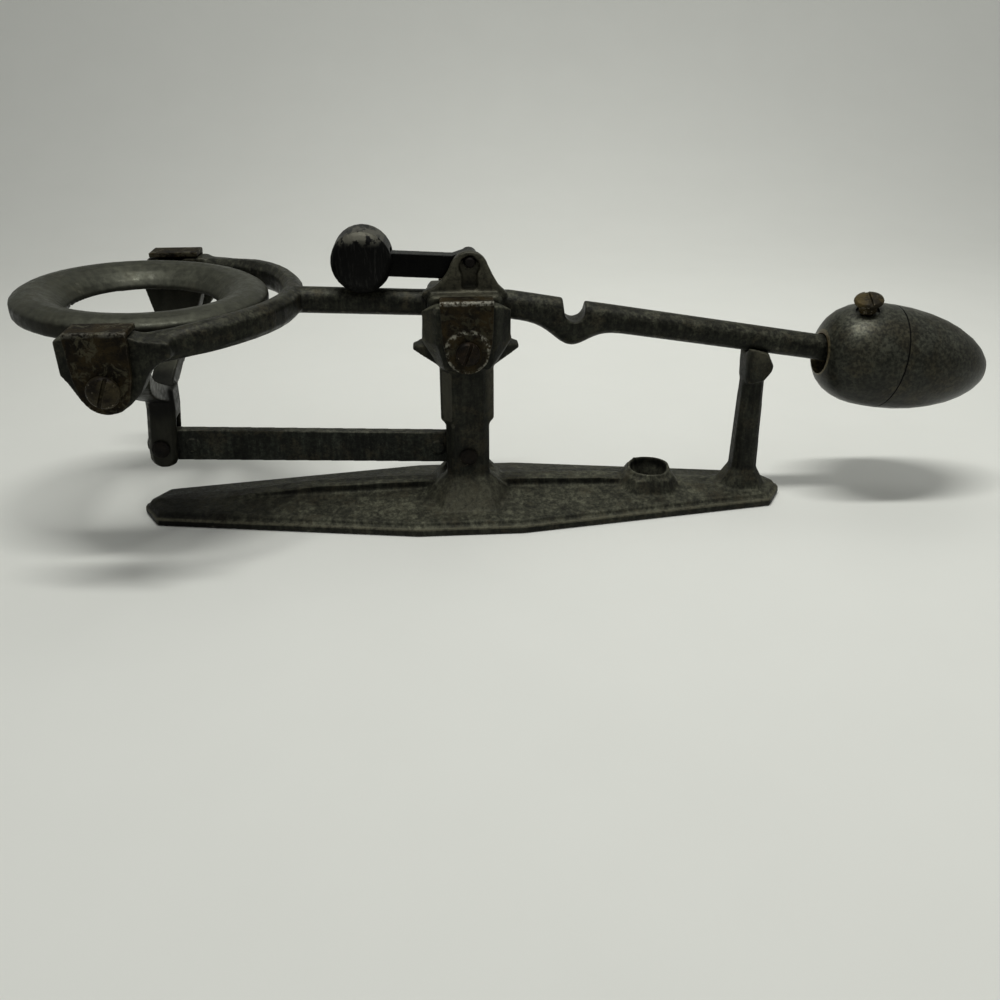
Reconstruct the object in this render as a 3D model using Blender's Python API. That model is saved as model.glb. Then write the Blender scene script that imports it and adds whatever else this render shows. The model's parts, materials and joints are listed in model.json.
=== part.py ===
"""Egg grading balance.

A cast base carries a forked pillar. The beam rocks in the pillar's head on a knife edge, and
its forked left end carries an egg ring on two more knife edges. A check link between the
pillar and the ring's stem keeps the ring level. A poise flips over from one side of the beam
to the other, and an egg-shaped counterweight is clamped on the beam's right end, which lies
in a rest post. The row frame has +X towards the counterweight and +Z up, and its origin is
under the pillar on the face that the balance stands on.
"""
import math

import bmesh
import bpy
from mathutils import Matrix, Vector

# Sizes are in millimetres, and MM turns them into metres when a mesh is made.
MM = 0.001
GAP = 0.3
SIDES = 24

# The parallelogram: fulcrum, ring pivot, and the two pins of the check link.
ARM = 77.6
REST_RISE = 3.2
FULCRUM = Vector((0.0, 0.0, 53.6))
POST_PIN = Vector((0.0, 0.0, 16.6))
ARM_VECTOR = Vector((-ARM, 0.0, REST_RISE))
RING_PIVOT = FULCRUM + ARM_VECTOR
STEM_PIN = POST_PIN + ARM_VECTOR

# Base plate.
BASE_TIP = 85.5
BASE_POINT_HALF = 0.9
BASE_END_X = 80.8
BASE_END_HALF = 8.4
BASE_MID_X = 13.5
BASE_MID_HALF = 18.8
FLANGE_TOP = 2.1
PLATE_EDGE = 3.3
CROWN_SLOPE = 0.155
RIB_HALF = 2.2
RIB_TOP = 7.8

# Pillar and its head.
PILLAR_HALF_Y = 7.0
PILLAR_FRONT_HALF = 3.6
PILLAR_LOW_HALF_X = 5.5
PILLAR_HIGH_HALF_X = 6.75
PILLAR_STEP_Z = 24.8
CHEEK_IN = 8.6
CHEEK_OUT = 12.5
HEAD_HALF_X = 10.8
HEAD_FRONT_HALF = 7.0
HEAD_TOP = 57.2
BEAM_SLOT_FLOOR = 49.0
LINK_SLOT_HALF = 1.9

# Knife edges and the vees that they stand in.
KNIFE_HEIGHT = 1.8
KNIFE_HALF = 1.3
VEE_SLOPE = 1.2

# Cap plates over the knife edges.
CAP_HALF = 6.3
CAP_THICK = 1.2
CAP_ROUND = 5.2
CAP_DROP = 12.2
FULCRUM_CAP_TOP = HEAD_TOP + CAP_THICK + GAP
SCREW_SHANK = 1.4
FULCRUM_SCREW_HEAD = 2.9
RING_SCREW_HEAD = 3.5

# Beam.
BAR_SLOPE = 0.042
BAR_Z = 54.7
BAR_RADIUS = 3.2
BEND_X = 10.9
ROD_SLOPE = -0.1596
ROD_START_RADIUS = 3.55
ROD_END_RADIUS = 3.25
ROD_END_X = 104.0
FORK_LENGTH = 36.0
FORK_HALF = 35.2
FORK_WIDTH = 5.2
FORK_HEIGHT = 6.8
LUG_IN = 32.4
LUG_OUT = 38.2
LUG_TOP = 59.4
RING_CAP_TOP = LUG_TOP + CAP_THICK + GAP
LUG_X = -76.8
RING_CAP_FRONT_X = -75.4
RING_CAP_BACK_X = -76.9
HUB_HALF_Y = 8.2
HUB_TOP = 58.6
EAR_FRONT = -5.0
EAR_BACK = -2.4
KEYHOLE_FLOOR = -3.2
NOTCH_X = 26.8
NOTCH_FLOOR = 50.2
NOTCH_HALF = 2.6
BELLY_X = 26.0
BELLY_DEPTH = 4.7
BELLY_LENGTH = 5.9

# Egg ring and its stem.
RING_CENTRE = Vector((-76.4, 0.0, 0.0))
RING_SET = math.radians(2.5)
STEM_HALF_X = 3.6
STEM_HALF_Y = 3.8
STEM_FOOT = 14.4

# Check link.
LINK_HALF_HEIGHT = 4.15
LINK_HALF_THICK = 1.4
PIN_RADIUS = 1.5
PIN_HEAD = 2.25

# Poise.
POISE_PIN = Vector((1.1, 0.0, 65.7))
PIN_HOLE_RADIUS = 1.5
POISE_REACH = 25.3
POISE_RISE = 0.25
POISE_RADIUS = 7.15
POISE_HALF_LENGTH = 5.4
POISE_SADDLE_HALF = 3.9
POISE_SADDLE_TOP = 59.2
POISE_ARM_HALF_THICK = 2.0
POISE_ARM_HALF_HEIGHT = 2.75
POISE_ARM_DROP = 0.9

# Counterweight.
EGG_SEAM_X = 107.8
EGG_RADIUS = 13.3
EGG_BLUNT = 17.3
EGG_POINT = 28.6
EGG_DROP = 0.1
BORE_RADIUS = 5.2
BORE_DROP = 1.5
CAVITY_RADIUS = 8.2
SLUG_LENGTH = 19.0
CLAMP_SCREW_X = 98.6
CLAMP_SCREW_LEAN = math.radians(-10.0)
CLAMP_SCREW_FORWARD = math.radians(14.0)

# Rest post and the broken stub.
REST_POST_X = 74.5
STUB_X = 48.4

CAST = (0.115, 0.112, 0.088)
CAST_DARK = (0.075, 0.074, 0.060)
RUSTY_STEEL = (0.110, 0.066, 0.040)
DARK_STEEL = (0.045, 0.032, 0.026)
BLACK_PAINT = (0.012, 0.012, 0.010)
WORN_BRASS = (0.180, 0.130, 0.075)
IRON = (0.090, 0.088, 0.085)


def clear_scene():
    """Remove every object that the scene starts with."""
    for item in list(bpy.data.objects):
        bpy.data.objects.remove(item, do_unlink=True)


def finish_material(name, colour, roughness, metallic):
    """One Principled material for a sub-part."""
    material = bpy.data.materials.new(name)
    material.use_nodes = True
    shader = material.node_tree.nodes["Principled BSDF"]
    shader.inputs["Base Color"].default_value = (*colour, 1.0)
    shader.inputs["Roughness"].default_value = roughness
    shader.inputs["Metallic"].default_value = metallic
    return material


def make_object(name, shape):
    """Link a bmesh made in millimetres as an object in metres."""
    bmesh.ops.recalc_face_normals(shape, faces=shape.faces)
    bmesh.ops.scale(shape, vec=(MM, MM, MM), verts=shape.verts)
    mesh = bpy.data.meshes.new(name)
    shape.to_mesh(mesh)
    shape.free()
    made = bpy.data.objects.new(name, mesh)
    bpy.context.scene.collection.objects.link(made)
    return made


def loft(name, rings, closed=False):
    """Skin a list of rings, each with the same number of points; cap it unless it is closed."""
    shape = bmesh.new()
    loops = []
    for ring in rings:
        loops.append([shape.verts.new(point) for point in ring])
    pairs = list(zip(loops, loops[1:]))
    if closed:
        pairs.append((loops[-1], loops[0]))
    for low, high in pairs:
        for index in range(len(low)):
            after = (index + 1) % len(low)
            shape.faces.new((low[index], low[after], high[after], high[index]))
    if not closed:
        shape.faces.new(loops[0])
        shape.faces.new(loops[-1])
    return make_object(name, shape)


def plate(name, outline, low, high):
    """Extrude an outline of (x, z) points from y = low to y = high."""
    rings = [[(x, y, z) for x, z in outline] for y in (low, high)]
    return loft(name, rings)


def turned(name, profile, origin, axis, sides=SIDES):
    """Turn (radius, height) points about an axis; the ends are capped flat."""
    frame = axis.to_track_quat("Z", "Y").to_matrix()
    rings = []
    for radius, height in profile:
        ring = []
        for step in range(sides):
            angle = math.tau * step / sides
            local = Vector((radius * math.cos(angle), radius * math.sin(angle), height))
            ring.append(origin + frame @ local)
        rings.append(ring)
    return loft(name, rings)


def rod_between(name, start, end, radius, sides=SIDES):
    """A straight round bar."""
    length = (end - start).length
    return turned(name, [(radius, 0.0), (radius, length)], start, end - start, sides)


def combine(target, tool, operation):
    """Join or cut one object with another, then drop the tool."""
    step = target.modifiers.new("step", "BOOLEAN")
    step.operation = operation
    step.solver = "EXACT"
    step.object = tool
    bpy.context.view_layer.update()
    graph = bpy.context.evaluated_depsgraph_get()
    result = bpy.data.meshes.new_from_object(target.evaluated_get(graph))
    target.modifiers.clear()
    target.data = result
    bpy.data.objects.remove(tool, do_unlink=True)


def join(target, *others):
    """Boolean union of several solids."""
    for other in others:
        combine(target, other, "UNION")


def cut(target, *tools):
    """Cut several tools out of a solid."""
    for tool in tools:
        combine(target, tool, "DIFFERENCE")


def pivot(name, place):
    """An empty on a joint's axis, in millimetres."""
    empty = bpy.data.objects.new(name, None)
    empty.location = place * MM
    bpy.context.scene.collection.objects.link(empty)
    return empty


def complete(piece, material, parent=None, sharp=35.0):
    """Give a piece its material, its shading and its pivot."""
    mesh = piece.data
    mesh.materials.clear()
    mesh.materials.append(material)
    mesh.shade_smooth()
    mesh.set_sharp_from_angle(angle=math.radians(sharp))
    if parent is not None:
        mesh.transform(Matrix.Translation(-parent.location))
        piece.parent = parent
    return piece


def octagon(centre_x, half_x, half_y, front_half, side_half, height):
    """A chamfered rectangle in plan, at one height."""
    quarter = [(front_half, -half_y), (half_x, -side_half), (half_x, side_half), (front_half, half_y)]
    opposite = [(-x, -y) for x, y in quarter]
    return [(centre_x + x, y, height) for x, y in quarter + opposite]


def arc(centre_x, centre_z, radius, start, end, steps):
    """Points of a circular arc in the XZ plane, angles in degrees."""
    points = []
    for step in range(steps + 1):
        angle = math.radians(start + (end - start) * step / steps)
        points.append((centre_x + radius * math.cos(angle), centre_z + radius * math.sin(angle)))
    return points


def base_half_width(x):
    """Half width of the boat-shaped base at a distance along it."""
    run = min(max(abs(x) - BASE_MID_X, 0.0), BASE_END_X - BASE_MID_X)
    return BASE_MID_HALF - run * (BASE_MID_HALF - BASE_END_HALF) / (BASE_END_X - BASE_MID_X)


def base_outline(inset):
    """Plan of the base: a long hexagon with pointed tips."""
    end_half = BASE_END_HALF - inset
    mid_half = BASE_MID_HALF - inset
    end = BASE_END_X - 0.4 * inset
    tip = BASE_TIP - inset
    right = [(BASE_MID_X, -mid_half), (end, -end_half), (tip, -BASE_POINT_HALF),
             (tip, BASE_POINT_HALF), (end, end_half), (BASE_MID_X, mid_half)]
    return right + [(-x, -y) for x, y in right]


def base_plate():
    """Flanged plate whose top rises from its edge to the spine."""
    steps = [(0.0, 0.3), (0.5, 0.0), (FLANGE_TOP, 0.2), (FLANGE_TOP + 0.1, 1.3), (PLATE_EDGE, 1.5)]
    rings = [[(x, y, height) for x, y in base_outline(inset)] for height, inset in steps]
    crown = []
    for x, y in base_outline(steps[-1][1]):
        half = base_half_width(x)
        rise = CROWN_SLOPE * (half - steps[-1][1] - RIB_HALF)
        crown.append((x * 0.972, y * RIB_HALF / half, PLATE_EDGE + rise))
    rings.append(crown)
    return loft("base_casting", rings)


def base_spine():
    """Low rib along the middle of the base that fades out towards the tips."""
    outline = [(-67.0, 2.0), (67.0, 2.0), (62.0, 4.6), (36.0, 7.2), (14.0, RIB_TOP),
               (-14.0, RIB_TOP), (-40.0, 7.2), (-64.0, 4.6)]
    return plate("spine", outline, -RIB_HALF, RIB_HALF)


def pillar():
    """Foot, shaft and head of the pillar as one stack of octagons."""
    high_side = PILLAR_HALF_Y - PILLAR_HIGH_HALF_X + PILLAR_FRONT_HALF
    rings = [
        octagon(0.0, 12.6, 13.4, 7.3, 4.6, 2.6),
        octagon(0.0, 12.0, 12.8, 6.9, 4.4, 4.4),
        octagon(0.0, 5.6, PILLAR_HALF_Y + 0.2, PILLAR_FRONT_HALF + 0.1, 4.6, 10.9),
        octagon(0.0, PILLAR_LOW_HALF_X, PILLAR_HALF_Y, PILLAR_FRONT_HALF, 4.8, 11.6),
        octagon(0.0, PILLAR_LOW_HALF_X, PILLAR_HALF_Y, PILLAR_FRONT_HALF, 4.8, PILLAR_STEP_Z),
        octagon(0.0, PILLAR_HIGH_HALF_X, PILLAR_HALF_Y, PILLAR_FRONT_HALF, high_side, PILLAR_STEP_Z + 0.9),
        octagon(0.0, PILLAR_HIGH_HALF_X, PILLAR_HALF_Y, PILLAR_FRONT_HALF, high_side, 39.6),
        octagon(0.0, 7.6, CHEEK_OUT, 5.4, 6.4, 42.0),
        octagon(0.0, HEAD_HALF_X, CHEEK_OUT, HEAD_FRONT_HALF, CHEEK_IN, 48.2),
        octagon(0.0, HEAD_HALF_X, CHEEK_OUT, HEAD_FRONT_HALF, CHEEK_IN, 55.4),
        octagon(0.0, HEAD_FRONT_HALF + 0.3, CHEEK_OUT, HEAD_FRONT_HALF, CHEEK_OUT - 0.3, HEAD_TOP),
    ]
    return loft("pillar", rings)


def head_wings():
    """Pointed lugs on both sides of the head's foot."""
    right = [(6.6, 5.6, 40.4, 45.9), (10.8, 3.4, 42.5, 45.2), (13.2, 1.8, 43.7, 44.5)]
    left = [(-x, half_y, low, high) for x, half_y, low, high in reversed(right)]
    rings = []
    for x, half_y, low, high in left + right:
        rings.append([(x, -half_y, low), (x, half_y, low), (x, half_y, high), (x, -half_y, high)])
    return loft("wings", rings)


def vee(name, apex, low, high):
    """Open vee for a knife edge, cut a clearance below the edge."""
    top = 8.0
    bottom = apex.z - GAP
    outline = [(apex.x, bottom), (apex.x + top * VEE_SLOPE, bottom + top),
               (apex.x - top * VEE_SLOPE, bottom + top)]
    return plate(name, outline, low, high)


def knife_outline(apex, grow=0.0):
    """Triangle of a knife edge with its edge down."""
    half = KNIFE_HALF + 1.5 * grow
    top = apex.z + KNIFE_HEIGHT + grow
    return [(apex.x, apex.z - 1.6 * grow), (apex.x + half, top), (apex.x - half, top)]


def rest_post():
    """Tapering octagonal post whose top cradles the rod."""
    rings = [
        octagon(REST_POST_X, 6.4, 5.7, 3.8, 2.7, 2.6),
        octagon(REST_POST_X, 6.0, 5.3, 3.6, 2.5, 4.3),
        octagon(REST_POST_X + 0.1, 3.4, 3.5, 1.9, 1.9, 8.8),
        octagon(REST_POST_X - 0.3, 2.75, 3.0, 1.6, 1.6, 35.5),
    ]
    post = loft("rest_post", rings)
    outline = [(71.6, 33.2), (76.4, 34.0), (78.3, 36.2), (78.6, 37.6), (77.3, 40.0), (76.8, 41.2),
               (72.6, 42.4), (71.2, 42.5), (71.3, 38.0)]
    middle = REST_POST_X
    head_rings = []
    for y, shrink in ((-4.2, 0.78), (-2.8, 1.0), (2.8, 1.0), (4.2, 0.78)):
        head_rings.append([(middle + (x - middle) * shrink, y, z) for x, z in outline])
    join(post, loft("post_head", head_rings))
    return post


def stub():
    """Octagonal flare and the ragged rim of a broken hollow stub."""
    body = loft("stub", [
        octagon(STUB_X, 9.2, 8.0, 5.4, 2.6, 2.6),
        octagon(STUB_X, 8.8, 7.6, 5.1, 2.4, 4.3),
        octagon(STUB_X + 0.3, 6.2, 6.2, 4.2, 2.6, 7.8),
    ])
    sides = 24
    rim_x = STUB_X + 0.4
    rings = []
    for height, radius, ragged in ((5.0, 5.9, 0.0), (7.9, 5.9, 0.0), (9.2, 5.7, 1.0)):
        ring = []
        for step in range(sides):
            angle = math.tau * (step + 0.5) / sides
            wave = 0.3 * math.sin(angle) + 0.28 * math.sin(3.0 * angle + 0.7) + 0.22 * math.sin(7.0 * angle)
            ring.append((rim_x + radius * math.cos(angle), radius * math.sin(angle), height + ragged * wave))
        rings.append(ring)
    join(body, loft("stub_rim", rings))
    hollow = turned("hollow", [(2.6, 3.6), (4.8, 7.6), (5.1, 11.0)], Vector((rim_x, 0.0, 0.0)),
                    Vector((0.0, 0.0, 1.0)), 24)
    return body, hollow


def rod_axis(x):
    """Height of the rod's axis; left of the bend it is the bar's axis."""
    bend = BAR_Z - BAR_SLOPE * BEND_X
    if x < BEND_X:
        return BAR_Z - BAR_SLOPE * x
    return bend + ROD_SLOPE * (x - BEND_X)


def rod_radius(x):
    """Radius of the rod, which tapers towards the counterweight."""
    along = min(max((x - BEND_X) / (ROD_END_X - BEND_X), 0.0), 1.0)
    return ROD_START_RADIUS + (ROD_END_RADIUS - ROD_START_RADIUS) * along


def rod_direction():
    """Unit vector along the rod, away from the pillar."""
    return Vector((1.0, 0.0, ROD_SLOPE)).normalized()


def base_casting(material):
    """Base, pillar, rest post and stub: one casting, bored and slotted."""
    body = base_plate()
    stub_body, stub_hollow = stub()
    join(body, base_spine(), pillar(), head_wings(), rest_post(), stub_body)
    beam_slot = plate("beam_slot", [(-20, BEAM_SLOT_FLOOR), (20, BEAM_SLOT_FLOOR), (20, 70), (-20, 70)],
                      -CHEEK_IN, CHEEK_IN)
    slot_top = PILLAR_STEP_Z - 0.4
    link_slot = plate("link_slot", [(-14, 9.4), (14, 9.4), (14, slot_top), (-14, slot_top)],
                      -LINK_SLOT_HALF, LINK_SLOT_HALF)
    bearing = vee("bearing", FULCRUM, -20.0, 20.0)
    pin_hole = rod_between("pin_hole", POST_PIN - Vector((0, 12, 0)), POST_PIN + Vector((0, 12, 0)),
                           PIN_RADIUS + GAP * 0.5)
    cradle_start = Vector((60.0, 0.0, rod_axis(60.0)))
    cradle = rod_between("cradle", cradle_start, cradle_start + rod_direction() * 30.0,
                         rod_radius(REST_POST_X) + GAP)
    cut(body, stub_hollow, beam_slot, link_slot, bearing, pin_hole, cradle)
    for side in (-1.0, 1.0):
        mouth = Vector((0.0, side * (CHEEK_OUT + 4.0), FULCRUM_CAP_TOP - CAP_DROP))
        floor = Vector((0.0, side * (CHEEK_OUT - 7.0), mouth.z))
        cut(body, rod_between("screw_hole", mouth, floor, SCREW_SHANK + GAP * 0.5))
    return complete(body, material)


def cap_plate(name, centre_x, top, face_y, inner_y, material, parent=None):
    """Bent steel cap: a flange over the knife edge and a drop-shaped tongue with a screw hole."""
    side = math.copysign(1.0, face_y)
    outer = face_y + side * CAP_THICK
    screw_z = top - CAP_DROP
    straight = screw_z + 2.6
    tongue = [(centre_x + CAP_HALF, top - 0.5), (centre_x + CAP_HALF - 0.4, straight)]
    tongue += arc(centre_x, screw_z, CAP_ROUND, -10.0, -170.0, 12)
    tongue += [(centre_x - CAP_HALF + 0.4, straight), (centre_x - CAP_HALF, top - 0.5)]
    tongue += [(centre_x - CAP_HALF, top - 0.2), (centre_x + CAP_HALF, top - 0.2)]
    body = plate(name, tongue, min(face_y, outer), max(face_y, outer))
    flange = [(inner_y, top - CAP_THICK), (outer - side * 0.02, top - CAP_THICK),
              (outer - side * 0.02, top - 0.45), (outer - side * 0.45, top), (inner_y, top)]
    rings = [[(x, y, z) for y, z in flange] for x in (centre_x - CAP_HALF, centre_x + CAP_HALF)]
    join(body, loft("flange", rings))
    hole = rod_between("hole", Vector((centre_x, outer + side * 3.0, screw_z)),
                       Vector((centre_x, face_y - side * 3.0, screw_z)), SCREW_SHANK + GAP * 0.5, 16)
    cut(body, hole)
    return complete(body, material, parent)


def slotted_screw(name, seat, outward, head_radius, shank_length, material, parent=None, dome=1.9):
    """Domed slotted screw: its head stands on seat, and its shank runs the other way."""
    profile = [(SCREW_SHANK * 0.7, -shank_length), (SCREW_SHANK, -shank_length + 0.6),
               (SCREW_SHANK, 0.05), (head_radius, 0.05), (head_radius, dome * 0.45),
               (head_radius * 0.86, dome * 0.78), (head_radius * 0.5, dome)]
    screw = turned(name, profile, seat, outward)
    across = outward.cross(Vector((0.35, 0.2, 0.9))).normalized()
    along = outward.cross(across).normalized()
    rings = []
    for end in (-1.0, 1.0):
        ring = []
        for width, height in ((-0.42, dome * 0.5), (0.42, dome * 0.5), (0.42, 6.0), (-0.42, 6.0)):
            ring.append(seat + along * (end * 8.0) + across * width + outward * height)
        rings.append(ring)
    cut(screw, loft("driver_slot", rings))
    return complete(screw, material, parent)


def headed_pin(name, place, half_length, material, parent=None):
    """Riveted pin along Y, with a low head at both ends."""
    profile = []
    shape = ((PIN_HEAD * 0.6, half_length + 1.0), (PIN_HEAD, half_length + 0.7),
             (PIN_HEAD, half_length + 0.1))
    profile += [(radius, -height) for radius, height in shape]
    profile += [(PIN_RADIUS, -half_length - 0.1), (PIN_RADIUS, half_length + 0.1)]
    profile += [(radius, height) for radius, height in reversed(shape)]
    return complete(turned(name, profile, place, Vector((0, 1, 0))), material, parent)


def knife_edge(name, apex, low, high, material, parent=None):
    """Steel knife edge along Y."""
    return complete(plate(name, knife_outline(apex), low, high), material, parent)


def bar_section(x, sides, bulge=0.0, reach=1.0):
    """One oval section of the beam's bar: its underside drops by bulge."""
    radius = rod_radius(x) if x > BEND_X else BAR_RADIUS + (ROD_START_RADIUS - BAR_RADIUS) * reach
    centre = rod_axis(x) - bulge * 0.5
    ring = []
    for step in range(sides):
        angle = math.tau * step / sides
        y = radius * math.cos(angle)
        ring.append((x, y, centre + (radius + bulge * 0.5) * math.sin(angle)))
    return ring


def beam_bar():
    """Round bar from the fork to the counterweight, with a belly under the notch."""
    sides = 20
    rings = []
    for step in range(4):
        rings.append(bar_section(-40.0 + 10.0 * step, sides, reach=0.0))
    rings.append(bar_section(0.0, sides, reach=0.6))
    stations = [BEND_X] + [14.0 + 1.6 * step for step in range(17)] + [52.0, 70.0, 90.0, ROD_END_X]
    for x in stations:
        bulge = BELLY_DEPTH * math.exp(-((x - BELLY_X) / BELLY_LENGTH) ** 2)
        rings.append(bar_section(x, sides, bulge))
    return loft("beam_casting", rings)


def fork():
    """Curved arms around the ring, swept along half an ellipse."""
    rings = []
    steps = 26
    corner = 1.6
    half_w = FORK_WIDTH * 0.5
    half_h = FORK_HEIGHT * 0.5
    section = [(-half_w + corner, -half_h), (half_w - corner, -half_h), (half_w, -half_h + corner),
               (half_w, half_h - corner), (half_w - corner, half_h), (-half_w + corner, half_h),
               (-half_w, half_h - corner), (-half_w, -half_h + corner)]
    for step in range(steps + 1):
        angle = math.radians(-90.0 + 180.0 * step / steps)
        centre = Vector((-ARM + FORK_LENGTH * math.cos(angle), FORK_HALF * math.sin(angle), 0.0))
        outward = Vector((math.cos(angle) / FORK_LENGTH, math.sin(angle) / FORK_HALF, 0.0)).normalized()
        centre.z = BAR_Z - BAR_SLOPE * centre.x
        sink = 2.4 * math.sin(abs(angle)) ** 6
        rings.append([centre + outward * across + Vector((0, 0, up - sink)) for across, up in section])
    return loft("fork", rings)


def lug(side):
    """Drop-shaped bearing lug at the end of a fork arm."""
    x = LUG_X
    outline = [(x + 8.9, LUG_TOP - 0.6), (x + 8.3, LUG_TOP), (x - 6.9, LUG_TOP), (x - 7.4, LUG_TOP - 0.6)]
    outline += [(x - 7.3, 51.8), (x - 6.1, 50.0), (x - 4.1, 45.9), (x - 2.3, 44.1), (x - 0.2, 43.1),
                (x + 1.7, 42.9), (x + 3.4, 43.3), (x + 5.7, 44.9), (x + 8.1, 47.3), (x + 9.7, 50.3),
                (x + 10.9, 52.1), (x + 13.0, 53.7), (x + 15.6, 54.7), (x + 15.6, 58.2), (x + 11.5, 58.6)]
    low, high = sorted((side * LUG_IN, side * LUG_OUT))
    return plate("lug", outline, low, high)


def ring_cap_x(side):
    """Where a ring cap sits along the beam: the front and the back one are not quite in line."""
    return RING_CAP_FRONT_X if side < 0.0 else RING_CAP_BACK_X


def hub():
    """Block of the beam inside the pillar's head."""
    rings = []
    for y, shrink in ((-HUB_HALF_Y, 0.9), (-HUB_HALF_Y + 1.0, 1.0),
                      (HUB_HALF_Y - 1.0, 1.0), (HUB_HALF_Y, 0.9)):
        middle = 54.8
        outline = [(-8.0, 51.2), (7.6, 51.0), (8.7, 52.2), (8.7, 57.4), (7.6, HUB_TOP), (-8.2, HUB_TOP),
                   (-9.2, 57.4), (-9.2, 52.4)]
        rings.append([(x * shrink, y, middle + (z - middle) * shrink) for x, z in outline])
    return loft("hub", rings)


def ear():
    """Bell-shaped ear on the hub, with a keyhole sunk in its front and a hole for the poise's pin."""
    outline = [(-9.8, 57.0), (9.6, 57.0), (10.2, 58.0), (8.0, 60.0), (6.7, 62.2)]
    outline += arc(1.0, 63.6, 4.6, 15.0, 150.0, 10)
    outline += [(-4.2, 63.2), (-5.6, 61.4), (-7.6, 59.8), (-10.4, 58.6)]
    body = plate("ear", outline, EAR_FRONT, EAR_BACK)
    mouth, floor = Vector((1.0, -9.0, 64.5)), Vector((1.0, KEYHOLE_FLOOR, 64.5))
    round_hole = rod_between("round_hole", mouth, floor, 2.5, 20)
    slot = plate("slot", [(-0.9, 59.2), (2.9, 59.2), (2.9, 64.5), (-0.9, 64.5)], -9.0, KEYHOLE_FLOOR)
    pin_hole = rod_between("pin_hole", POISE_PIN + Vector((0, -9.0, 0)), POISE_PIN, PIN_HOLE_RADIUS, 20)
    return body, round_hole, slot, pin_hole


def notch():
    """Round-bottomed notch across the beam, a little wider at its mouth."""
    outline = arc(NOTCH_X, NOTCH_FLOOR + NOTCH_HALF, NOTCH_HALF, 180.0, 360.0, 10)
    outline += [(NOTCH_X + NOTCH_HALF + 0.6, 60.0), (NOTCH_X - NOTCH_HALF - 0.6, 60.0)]
    return plate("notch", outline, -9.0, 9.0)


def beam_casting(material, parent):
    """Fork, hub, ear, bar, notch and rod: one casting."""
    body = beam_bar()
    ear_body, round_hole, slot, pin_hole = ear()
    join(body, fork(), lug(-1.0), lug(1.0), hub(), ear_body)
    knife_hole = plate("knife_hole", knife_outline(FULCRUM, GAP), -20.0, 20.0)
    cut(body, round_hole, slot, pin_hole, notch(), knife_hole, vee("left_vee", RING_PIVOT, -60.0, -30.0),
        vee("right_vee", RING_PIVOT, 30.0, 60.0))
    for side in (-1.0, 1.0):
        start = Vector((ring_cap_x(side), side * (LUG_OUT + 4.0), RING_CAP_TOP - CAP_DROP))
        end = Vector((start.x, side * (LUG_IN - 4.0), start.z))
        cut(body, rod_between("screw_hole", start, end, SCREW_SHANK + GAP * 0.5, 16))
    return complete(body, material, parent)


def egg_ring():
    """Rounded ring that an egg stands in, set slightly down towards the pillar."""
    profile = [(17.0, 55.0), (27.4, 55.1), (28.8, 55.5), (29.0, 56.2), (29.0, 58.6), (28.4, 59.3),
               (26.8, 60.2), (24.6, 60.6), (22.2, 60.2), (20.0, 59.0), (18.2, 57.4), (17.1, 56.0)]
    level = 58.0
    rings = []
    turn = Matrix.Rotation(RING_SET, 3, "Y")
    steps = 48
    for step in range(steps):
        angle = math.tau * step / steps
        ring = []
        for radius, height in profile:
            spoke = Vector((radius * math.cos(angle), radius * math.sin(angle), height - level))
            ring.append(RING_CENTRE + turn @ spoke + Vector((0, 0, level)))
        rings.append(ring)
    return loft("egg_ring", rings, closed=True)


def yoke_leg(side):
    """Curved leg from under the ring down to the stem."""
    rings = []
    steps = 10
    bends = ((26.0, 56.8), (26.5, 42.8), (13.0, 39.0), (1.0, 33.4))
    start, lift, bend, end = (Vector(point) for point in bends)
    for step in range(steps + 1):
        t = step / steps
        curve = ((1 - t) ** 3 * start + 3 * t * (1 - t) ** 2 * lift
                 + 3 * t * t * (1 - t) * bend + t ** 3 * end)
        slope = (3 * (1 - t) ** 2 * (lift - start) + 6 * t * (1 - t) * (bend - lift)
                 + 3 * t * t * (end - bend))
        normal = Vector((-slope.y, slope.x)).normalized()
        half_thick = 2.0
        half_width = min(2.8 + 7.0 * (1 - t) ** 3, 7.4)
        centre_x = -75.6 - 0.8 * t
        ring = []
        for across, out in ((-1, -1), (1, -1), (1, 1), (-1, 1)):
            place = curve + normal * (half_thick * out)
            ring.append((centre_x + across * half_width, side * place.x, place.y))
        rings.append(ring)
    return loft("leg", rings)


def stem():
    """Forked stem under the yoke, rounded at its foot."""
    def section(height, centre_x, half_x, half_y):
        corner = 1.2
        return octagon(centre_x, half_x, half_y, half_x - corner, half_y - corner, height)

    rings = [
        section(STEM_FOOT, -ARM, 1.8, STEM_HALF_Y - 0.5),
        section(STEM_FOOT + 0.7, -ARM, 2.8, STEM_HALF_Y - 0.1),
        section(STEM_FOOT + 2.2, -ARM, 3.5, STEM_HALF_Y),
        section(STEM_FOOT + 6.0, -ARM + 0.2, STEM_HALF_X, STEM_HALF_Y),
        section(30.0, -ARM + 1.3, 3.6, STEM_HALF_Y),
        section(35.2, -ARM + 1.4, 3.6, STEM_HALF_Y + 0.2),
    ]
    return loft("stem", rings)


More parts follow.
